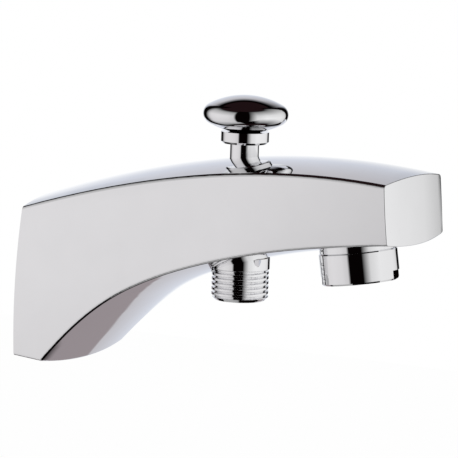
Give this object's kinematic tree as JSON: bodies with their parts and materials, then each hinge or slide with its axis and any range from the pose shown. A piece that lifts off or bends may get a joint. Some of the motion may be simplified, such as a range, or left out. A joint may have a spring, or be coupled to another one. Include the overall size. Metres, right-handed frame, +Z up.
{
  "type": "bath spout",
  "caption": "Wall-mounted bath spout: arched hollow body, lift-up diverter knob on top, threaded shower outlet with a check valve below it and a screw-in aerator under the nose.",
  "frame": {"origin": "on the wall plane, at the axis of the threaded inlet", "axes": "+X from the wall to the nose, +Z up, the picture's near side at -Y"},
  "size_m": [0.1498, 0.0618, 0.1038],
  "materials": {
    "chrome": "polished plating",
    "bare_brass": "turned",
    "black_rubber": "moulded",
    "white_plastic": "moulded",
    "grey_plastic": "moulded",
    "spring_steel": "drawn wire"
  },
  "bodies": {
    "spout": {"spout_body": "chrome", "inlet_washer": "black_rubber", "shower_nipple": "chrome", "nipple_o_ring": "black_rubber", "check_valve_cage": "white_plastic", "check_valve_o_ring": "black_rubber", "check_valve_spring": "spring_steel", "diverter_spring": "spring_steel", "aerator_housing": "chrome", "aerator_washer": "black_rubber", "aerator_diffuser": "grey_plastic", "aerator_screens": "spring_steel", "aerator_straightener": "grey_plastic"},
    "diverter": {"diverter_knob": "chrome", "diverter_stem": "chrome", "stem_o_ring": "black_rubber", "valve_disc": "bare_brass", "upper_valve_washer": "black_rubber", "lower_valve_washer": "black_rubber", "valve_nut": "bare_brass"},
    "check_valve": {"check_valve_poppet": "white_plastic", "poppet_seal": "black_rubber"}
  },
  "joints": [
    {"name": "diverter_lift", "type": "slide", "parent": "spout", "child": "diverter", "axis": [0, 0, 1], "range_m": [0, 0.0066], "stiffness_N_per_m": 150, "springref_m": -0.01, "deforming": ["diverter_spring"]},
    {"name": "check_valve_opening", "type": "slide", "parent": "spout", "child": "check_valve", "axis": [0, 0, -1], "range_m": [0, 0.002], "stiffness_N_per_m": 40, "springref_m": -0.005, "deforming": ["check_valve_spring"]}
  ]
}
